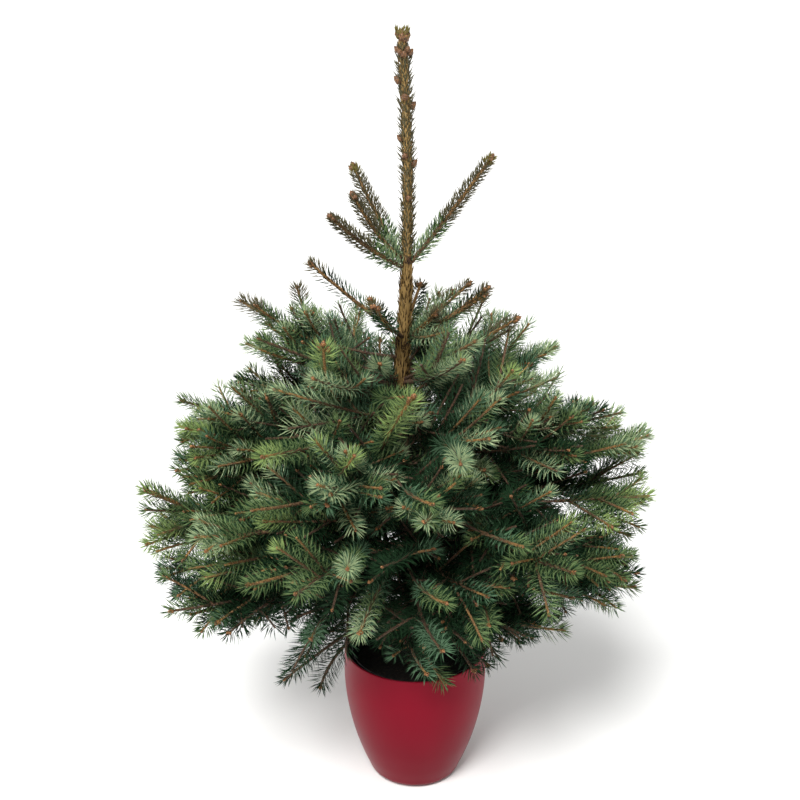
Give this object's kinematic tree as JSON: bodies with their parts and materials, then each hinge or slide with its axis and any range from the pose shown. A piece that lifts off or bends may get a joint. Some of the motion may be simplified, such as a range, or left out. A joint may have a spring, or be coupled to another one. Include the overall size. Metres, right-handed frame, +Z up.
{
  "type": "potted blue spruce tree",
  "caption": "Young blue spruce in a round red planter: a bare leader over a broad, dense crown of whorled boughs, on one tapering trunk.",
  "frame": {"origin": "centre of the planter's flat underside, on the ground", "axes": "+Z up along the planter's axis and the trunk, +X to the right and -Y to the front as the tree is shown"},
  "size_m": [0.7317, 0.6636, 1.155],
  "materials": {
    "planter_plastic": "satin dark red, moulded",
    "nursery_plastic": "glossy black, thin wall",
    "potting_soil": "moist dark brown compost",
    "bark": "golden brown young bark with leaf bases",
    "needles": "waxy blue-green needles"
  },
  "bodies": {
    "root": {"bough_1_1": "bark", "bough_1_2": "bark", "bough_1_3": "bark", "bough_1_4": "bark", "bough_2_1": "bark", "bough_2_2": "bark", "bough_2_3": "bark", "bough_2_4": "bark", "bough_3_1": "bark", "bough_3_2": "bark", "bough_3_3": "bark", "bough_3_4": "bark", "bough_3_5": "bark", "bough_3_6": "bark", "bough_4_1": "bark", "bough_4_2": "bark", "bough_4_3": "bark", "bough_4_4": "bark", "bough_4_5": "bark", "foliage_1_1": "needles", "foliage_1_2": "needles", "foliage_1_3": "needles", "foliage_1_4": "needles", "foliage_2_1": "needles", "foliage_2_2": "needles", "foliage_2_3": "needles", "foliage_2_4": "needles", "foliage_3_1": "needles", "foliage_3_2": "needles", "foliage_3_3": "needles", "foliage_3_4": "needles", "foliage_3_5": "needles", "foliage_3_6": "needles", "foliage_4_1": "needles", "foliage_4_2": "needles", "foliage_4_3": "needles", "foliage_4_4": "needles", "foliage_4_5": "needles", "foliage_5_1": "needles", "foliage_5_2": "needles", "foliage_5_3": "needles", "foliage_5_4": "needles", "foliage_5_5": "needles", "foliage_5_6": "needles", "foliage_5_7": "needles", "foliage_6_1": "needles", "foliage_6_2": "needles", "foliage_6_3": "needles", "foliage_6_4": "needles", "foliage_6_5": "needles", "foliage_6_6": "needles", "foliage_7_1": "needles", "foliage_7_2": "needles", "foliage_7_3": "needles", "foliage_7_4": "needles", "foliage_7_5": "needles", "nursery_pot": "nursery_plastic", "planter": "planter_plastic", "soil": "potting_soil", "trunk": "bark"}
  },
  "joints": []
}
